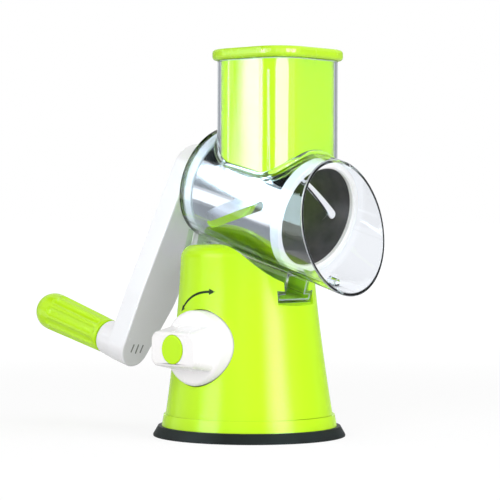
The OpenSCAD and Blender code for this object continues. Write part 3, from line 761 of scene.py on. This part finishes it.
class SHREDDER_OT_housing(bpy.types.Operator):
    """Finish the clear housing and its rear bush"""

    bl_idname = "shredder.housing"
    bl_label = "Clear housing"

    def execute(self, context):
        self.housing()
        paint("rear_bush", "White moulding")
        return {"FINISHED"}

    def outline(self):
        """Points and outward directions round the hopper's outer wall."""
        sizes = bpy.context.scene.shredder_housing
        flat = sizes.hopper / 2 - sizes.corner
        points = []
        for quarter in range(4):
            turn = quarter * math.pi / 2
            centre = Matrix.Rotation(turn, 2) @ Vector((flat, flat))
            for i in range(CORNER_STEPS + 1):
                angle = turn + math.pi / 2 * i / CORNER_STEPS
                out = Vector((math.cos(angle), math.sin(angle)))
                points.append((centre + out * sizes.corner, out))
            following = Matrix.Rotation(turn + math.pi / 2, 2) @ Vector((flat, flat))
            out = Vector((math.cos(turn + math.pi / 2), math.sin(turn + math.pi / 2)))
            last = points[-1][0]
            first = following + out * sizes.corner
            for i in range(1, SIDE_STEPS):
                points.append((last.lerp(first, i / SIDE_STEPS), out))
        middle = Vector((0, -sizes.hopper_front))
        return [(point + middle, out) for point, out in points]

    def over_barrel(self, spot):
        """The point of the barrel's upper skin over a place in plan."""
        sizes = bpy.context.scene.shredder_housing
        radius = sizes.barrel
        # the barrel is a cone, so its radius there is found in a few rounds
        for step in range(CONE_ROUNDS):
            # upper root of the distance to the slanted axis
            a = 1 - DRUM_AXIS.z ** 2
            b = -2 * DRUM_AXIS.y * DRUM_AXIS.z * spot.y
            c = spot.x ** 2 + spot.y ** 2 * (1 - DRUM_AXIS.y ** 2) - radius ** 2
            rise = (-b + math.sqrt(max(b * b - 4 * a * c, 0))) / (2 * a)
            along = DRUM_AXIS.y * spot.y + DRUM_AXIS.z * rise
            radius = sizes.barrel + (along + sizes.barrel_back) * sizes.barrel_slope
        return Vector((spot.x, spot.y, DRUM_POINT.z + rise))

    def neck(self):
        """The bead that fills the corner between hopper and barrel, as a closed ring."""
        sizes = bpy.context.scene.shredder_housing
        rings = []
        bm = bmesh.new()
        for spot, out in self.outline():
            across = Vector((*out, 0)) * sizes.bead
            made = bmesh.ops.create_circle(
                bm, segments=sizes.bead_steps, radius=1, cap_ends=False)["verts"]
            root = self.over_barrel(spot)
            for vert in made:
                vert.co = root + across * vert.co.x + Vector((0, 0, sizes.bead)) * vert.co.y
            rings.append({e for v in made for e in v.link_edges})
        for here, beyond in zip(rings, rings[1:] + rings[:1]):
            bmesh.ops.bridge_loops(bm, edges=[*here, *beyond])
        bmesh.ops.recalc_face_normals(bm, faces=bm.faces)
        return bm

    def housing(self):
        """The clear moulding with its neck bead and softened rims."""
        sizes = bpy.context.scene.shredder_housing
        joined = united(node_copy("clear_housing"), self.neck(), NECK)
        inverse = BARREL.inverted()

        def on_rail(place):
            spot = inverse @ place
            below = spot.y < -sizes.barrel - MARGIN
            return below and abs(spot.x) < sizes.rail_half and spot.z < sizes.rail_end

        for face in round_edges(joined, sizes.rim, segments=3, left_out=on_rail):
            face.material_index = RIM
        for face in joined.faces:
            middle = face.calc_center_median()
            if on_rail(middle):
                behind = (inverse @ middle).z < -sizes.barrel_back + MARGIN
                face.material_index = STOP if behind else RAIL
        piece = finish_piece(
            joined, "clear_barrel_and_hopper", "housing", "clear", "Clear moulding", "Hazy neck",
            "Hazy moulded edge", "Hazy rail", "Frosted stop", smooth_angle=40)
        even_shading(piece)
        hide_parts("clear_housing")


class SHREDDER_OT_pusher(bpy.types.Operator):
    """Finish the food pusher"""

    bl_idname = "shredder.pusher"
    bl_label = "Food pusher"

    def execute(self, context):
        paint("pusher_body", "Lime gloss moulding")
        paint("pusher_lid", "Lime lid moulding")
        return {"FINISHED"}


class SHREDDER_OT_drum(bpy.types.Operator):
    """Finish the slicing drum, its rings and its hub"""

    bl_idname = "shredder.drum"
    bl_label = "Slicing drum"

    def execute(self, context):
        self.sleeve()
        for node in ("drum_front_ring", "drum_rear_ring", "drive_shaft"):
            paint(node, "White knob moulding")
        paint("drum_hub", "Lime hub moulding")
        return {"FINISHED"}

    def sleeve(self):
        """The sleeve with true cone normals, so that the polish reflects without facets."""
        drum = bpy.context.scene.shredder_drum
        piece = finish_piece(
            node_copy("drum_sleeve"), "slicing_sleeve", "drum", "steel",
            "Polished steel", "Satin steel", "Cut steel")
        mesh = piece.data
        inverse = BARREL.inverted()
        lean = math.atan(drum.taper)
        normals = [Vector((0, 0, 0))] * len(mesh.loops)
        for face in mesh.polygons:
            corners = [inverse @ mesh.vertices[v].co for v in face.vertices]
            middle = sum(corners, Vector()) / len(corners)
            out = Vector((middle.x, middle.y, 0)).normalized()
            facing = (inverse.to_3x3() @ face.normal).dot(out)
            radii = [c.xy.length - drum.taper * c.z for c in corners]
            on_outside = (
                facing > SQUARE and min(radii) > drum.radius - SKIN
                and max(radii) < drum.radius + SKIN)
            on_inside = facing < -SQUARE and max(radii) < drum.radius - drum.sheet + SKIN
            face.material_index = POLISHED if on_outside else DULL if facing < INWARD else CUT
            for corner, loop in zip(corners, face.loop_indices):
                if on_outside or on_inside:
                    side = Vector((corner.x, corner.y, 0)).normalized() * math.cos(lean)
                    side.z = -math.sin(lean)
                    normal = BARREL.to_3x3() @ side
                    normals[loop] = normal if on_outside else -normal
        mesh.normals_split_custom_set(normals)
        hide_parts("drum_sleeve")


class SHREDDER_OT_crank(bpy.types.Operator):
    """Finish the crank arm, its screw and the grip"""

    bl_idname = "shredder.crank"
    bl_label = "Crank and grip"

    def execute(self, context):
        sizes = bpy.context.scene.shredder_crank
        bores = ((DRUM_POINT, sizes.shaft_bore), (GRIP_POINT, sizes.spindle_bore))

        def in_bore(place):
            return any((place - point).cross(DRUM_AXIS).length < reach for point, reach in bores)

        rounded_copy(
            "crank_arm", "crank_arm_moulding", "drum", "white", "White moulding", sizes.edge,
            in_bore)
        self.marks()
        for node in ("crank_screw", "grip_spindle"):
            paint(node, "Zinc plated steel")
        paint("grip", "Lime grip moulding")
        return {"FINISHED"}

    def marks(self):
        """Three slanted strokes moulded into the arm's inner face near the grip, coloured dark grey
        as painted shade.
        """
        sizes = bpy.context.scene.shredder_crank
        arm = surface_of("crank_arm")
        bm = bmesh.new()
        for stroke in STROKES:
            foot, head = (
                on_surface(arm, Vector((x * MM, -OUTSIDE, z * MM)), Vector((0, 1, 0)))
                for x, z in stroke)
            along = head - foot
            place = axis_frame((foot + head) / 2, DRUM_AXIS, along)
            size = Matrix.Diagonal(
                (sizes.mark_width, along.length + sizes.mark_over, sizes.mark_height, 1))
            bmesh.ops.create_cube(bm, size=1, matrix=place @ size)
        upright = [e for e in bm.edges if abs(e.calc_length() - sizes.mark_height) < SAME_POINT]
        bmesh.ops.bevel(
            bm, geom=upright, offset=sizes.mark_corner, offset_type="OFFSET", affect="EDGES",
            segments=4, profile=0.5, material=-1)
        finish_piece(bm, "arm_marks", "drum", "white", "Grey stroke shade")


# Studio: the table's reach to each side, where the two front lamps stand and what all lamps aim
# at, and cards that only polished and clear surfaces see
TABLE_REACH = 60
LAMP_DISTANCE = 1.3
KEY_AZIMUTH = 203
FILL_AZIMUTH = 285
AIM = (0, 0, 0.12)
COOL = (0.75, 0.94, 1)
BLUE = (0.6, 0.9, 1)
GREY = (0.92, 0.97, 1)
CARDS = (
    # name, seen from, azimuth, height angle, distance, width, height, then of its light the colour,
    # the strength in the middle and at the sides, and the share of the width in which they blend
    ("strip_left", (0, 0, 0.16), 146.5, 19, 0.9, 0.255, 0.75, COOL, 7, 0.2, 0.08),
    ("strip_left_low", (0, 0, 0.08), 165, 13, 2.5, 2.0, 0.36, BLUE, 44, 0.5, 0.3),
    ("strip_high", (0, 0, 0.2), 234, 2.7, 2.5, 2.7, 0.24, COOL, 7, 0.2, 0.12),
    ("strip_low", (0, 0, 0.08), 266, 14, 2.5, 2.2, 0.46, BLUE, 56, 0.3, 0.5),
    ("strip_table", (-0.03, -0.02, 0.144), 127, -9, 0.5, 0.5, 0.14, GREY, 2, 1.6, 0.1),
    ("table_left", (-0.165, 0.225, 0.3), 0, -90, 0.299, 0.22, 0.34, GREY, 0.5, 0.5, 0.1),
    ("grey_left", (0, 0, 0.16), 120, 7.5, 1.3, 0.8, 0.24, GREY, 0.4, 0.4, 0.1),
    ("grey_middle", (0, 0, 0.2), 180, 2.5, 2.6, 2.4, 0.3, GREY, 0.15, 0.15, 0.1),
    ("grey_right", (0, 0, 0.16), 309, 5, 0.8, 0.75, 0.34, GREY, 0.5, 0.5, 0.1),
    ("edge_right", (0, 0, 0.16), 1, 3, 0.95, 0.95, 0.6, GREY, 0.4, 0.9, 0.25),
    ("edge_left", (0, 0, 0.16), 84, 3, 0.9, 0.8, 0.6, GREY, 0.4, 0.9, 0.25),
    ("flag_above", (-0.03, -0.02, 0.16), 124, 60, 0.7, 0.7, 0.46, GREY, 0.01, 0.01, 0.1),
)
# Lens as it was fitted to the photo, in pixels of the picture
PICTURE_SIZE = 500
LENS_LENGTH = 2071.9
LENS_SHIFT = -30.25
SENSOR = 36  # width of the sensor in millimetres
CAMERA_ROLL = math.radians(0.2)


def way_to(azimuth, height_angle=0):
    """The direction at a compass angle from +X and an angle above the table, in degrees."""
    turn, rise = math.radians(azimuth), math.radians(height_angle)
    return Vector((
        math.cos(turn) * math.cos(rise), math.sin(turn) * math.cos(rise), math.sin(rise)))


def soft_box(name, centre, width, height, power):
    """A rectangular studio lamp that no polished or clear surface shows."""
    lamp = bpy.data.lights.new(name, "AREA")
    lamp.shape = "RECTANGLE"
    lamp.size = width
    lamp.size_y = height
    lamp.energy = power
    thing = add_object(name, lamp)
    thing.location = centre
    thing.rotation_euler = (Vector(AIM) - Vector(centre)).to_track_quat("-Z", "Y").to_euler()
    thing.visible_glossy = False
    thing.visible_transmission = False


def card_light(name, colour, middle, sides, soft):
    """A card's own light, which blends from its sides to its middle."""
    material, tree, shader = new_material(name)
    set_inputs(
        shader, Base_Color=(0, 0, 0, 1), Specular_IOR_Level=0, Emission_Color=(*colour, 1))
    spread = node_of(tree, "ShaderNodeTexCoord", (-1200, 0))
    parts = node_of(tree, "ShaderNodeSeparateXYZ", (-1000, 0))
    blend = node_of(
        tree, "ShaderNodeMapRange", (-600, 0), From_Max=soft, To_Min=sides, To_Max=middle)
    blend.interpolation_type = "SMOOTHSTEP"
    link = tree.links.new
    link(spread.outputs["UV"], parts.inputs["Vector"])
    link(worked_out(tree, "PINGPONG", parts.outputs["X"], 0.5), blend.inputs["Value"])
    link(blend.outputs["Result"], shader.inputs["Emission Strength"])
    # a ray that only passed through clear walls doesn't see the card
    path = node_of(tree, "ShaderNodeLightPath", (-300, 400))
    through = node_of(tree, "ShaderNodeBsdfTransparent", (0, 400))
    bounces = worked_out(
        tree, "ADD", path.outputs["Glossy Depth"], path.outputs["Diffuse Depth"])
    mixed_surface(tree, bounces, through, shader)
    return material


def studio_card(name, seen_from, azimuth, height_angle, distance, width, height, *light):
    """A card of its own light that the camera doesn't see."""
    way = way_to(azimuth, height_angle)
    place = Matrix.Translation(Vector(seen_from) + way * distance)
    turn = way.to_track_quat("-Z", "Y").to_matrix().to_4x4()
    bm = bmesh.new()
    bm.loops.layers.uv.new("UVMap")
    bmesh.ops.create_grid(
        bm, x_segments=1, y_segments=1, size=0.5, calc_uvs=True,
        matrix=place @ turn @ Matrix.Diagonal((width, height, 1, 1)))
    card = mesh_object(name, bm)
    card.data.materials.append(card_light(name, *light))
    card.visible_camera = False
    card.visible_diffuse = False
    card.visible_shadow = False


class SHREDDER_OT_stage(bpy.types.Operator):
    """Set up the floor, the soft light and the camera"""

    bl_idname = "shredder.stage"
    bl_label = "Stage"

    def execute(self, context):
        context.scene.view_settings.view_transform = "Standard"
        self.floor()
        self.surround()
        stage = context.scene.shredder_stage
        left, right = (way_to(side) * LAMP_DISTANCE for side in (KEY_AZIMUTH, FILL_AZIMUTH))
        soft_box("key", (left.x, left.y, 0.55), 0.9, 0.8, stage.key_power)
        soft_box("fill_right", (right.x, right.y, 0.5), 0.8, 0.8, stage.fill_power)
        soft_box("top", (-0.1, -0.2, 1.2), 0.9, 0.9, stage.top_power)
        for card in CARDS:
            studio_card(*card)
        self.camera()
        return {"FINISHED"}

    def floor(self):
        """A white table that takes soft shadows near the part and glows further off."""
        bm = bmesh.new()
        bmesh.ops.create_grid(bm, x_segments=1, y_segments=1, size=TABLE_REACH)
        floor = mesh_object("floor", bm)
        material, tree, shader = new_material("Floor")
        set_inputs(
            shader, Base_Color=(0.82, 0.82, 0.82, 1), Roughness=0.9, Specular_IOR_Level=0)
        glow = node_of(tree, "ShaderNodeEmission", (0, -400), Strength=1.06)
        place = node_of(tree, "ShaderNodeTexCoord", (-1000, 0))
        far = node_of(tree, "ShaderNodeVectorMath", (-800, 0))
        far.operation = "LENGTH"
        fade = node_of(
            tree, "ShaderNodeMapRange", (-600, 0), From_Min=0.25, From_Max=1.2, To_Min=0.75)
        fade.interpolation_type = "SMOOTHSTEP"
        tree.links.new(place.outputs["Object"], far.inputs[0])
        tree.links.new(far.outputs["Value"], fade.inputs["Value"])
        path = node_of(tree, "ShaderNodeLightPath", (-600, -300))
        seen = worked_out(
            tree, "MAXIMUM", path.outputs["Is Camera Ray"], path.outputs["Is Transmission Ray"])
        share = worked_out(tree, "MULTIPLY", seen, fade.outputs["Result"])
        mixed_surface(tree, share, shader, glow)
        floor.data.materials.append(material)

    def surround(self):
        """White all round, dimmer for what it lights than for what is seen."""
        world = bpy.data.worlds.new("Studio")
        bpy.context.scene.world = world
        world.use_nodes = True
        tree = world.node_tree
        dim = tree.nodes["Background"]
        set_inputs(dim, Color=(1, 1, 1, 1), Strength=0.56)
        white = node_of(tree, "ShaderNodeBackground", (0, -200), Color=(1, 1, 1, 1), Strength=1.0)
        path = node_of(tree, "ShaderNodeLightPath", (-600, 200))
        seen = worked_out(
            tree, "MAXIMUM", path.outputs["Is Camera Ray"], path.outputs["Is Transmission Ray"])
        seen = worked_out(tree, "MAXIMUM", seen, path.outputs["Is Glossy Ray"])
        mixed_surface(tree, seen, dim, white, "World Output")

    def camera(self):
        """The camera as it was fitted to the photo."""
        stage = bpy.context.scene.shredder_stage
        lens = bpy.data.cameras.new("Camera")
        lens.sensor_width = SENSOR
        lens.lens = LENS_LENGTH / PICTURE_SIZE * SENSOR
        lens.shift_y = LENS_SHIFT / PICTURE_SIZE
        lens.clip_start = 0.05
        eye = add_object("Camera", lens)
        turn = Matrix.Rotation(stage.eye_azimuth, 4, "Z") @ Matrix.Rotation(math.pi / 2, 4, "X")
        eye.matrix_world = turn @ Matrix.Rotation(CAMERA_ROLL, 4, "Z")
        ahead = Vector((-math.sin(stage.eye_azimuth), math.cos(stage.eye_azimuth), 0))
        eye.location = -ahead * stage.eye_distance + Vector((0, 0, stage.eye_height))
        bpy.context.scene.camera = eye


class SHREDDER_PT_panel(bpy.types.Panel):
    """Lists the builders of the shredder"""

    bl_idname = "SHREDDER_PT_panel"
    bl_label = "Drum shredder"
    bl_space_type = "VIEW_3D"
    bl_region_type = "UI"
    bl_category = "Shredder"

    def draw(self, context):
        column = self.layout.column()
        for operator in OPERATORS:
            column.operator(operator.bl_idname)
        for place in SETTINGS:
            settings = getattr(context.scene, place)
            for name in settings.__annotations__:
                column.prop(settings, name)


OPERATORS = (
    SHREDDER_OT_base,
    SHREDDER_OT_knob,
    SHREDDER_OT_housing,
    SHREDDER_OT_pusher,
    SHREDDER_OT_drum,
    SHREDDER_OT_crank,
    SHREDDER_OT_stage,
)
SETTINGS = {
    "shredder_base": BaseSettings,
    "shredder_knob": KnobSettings,
    "shredder_housing": HousingSettings,
    "shredder_drum": DrumSettings,
    "shredder_crank": CrankSettings,
    "shredder_stage": StageSettings,
}
CLASSES = (*SETTINGS.values(), *OPERATORS, SHREDDER_PT_panel)


def register():
    for cls in CLASSES:
        bpy.utils.register_class(cls)
    for place, settings in SETTINGS.items():
        setattr(bpy.types.Scene, place, PointerProperty(type=settings))


def unregister():
    for place in SETTINGS:
        delattr(bpy.types.Scene, place)
    for cls in reversed(CLASSES):
        bpy.utils.unregister_class(cls)


def plain(box):
    """A box as plain lists of numbers."""
    return [[float(c) for c in corner] for corner in box]


def main():
    """Builds every piece in order."""
    register()
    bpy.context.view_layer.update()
    for piece in ("base", "knob", "housing", "pusher", "drum", "crank", "stage"):
        getattr(bpy.ops.shredder, piece)()


if __name__ == "__main__":
    main()
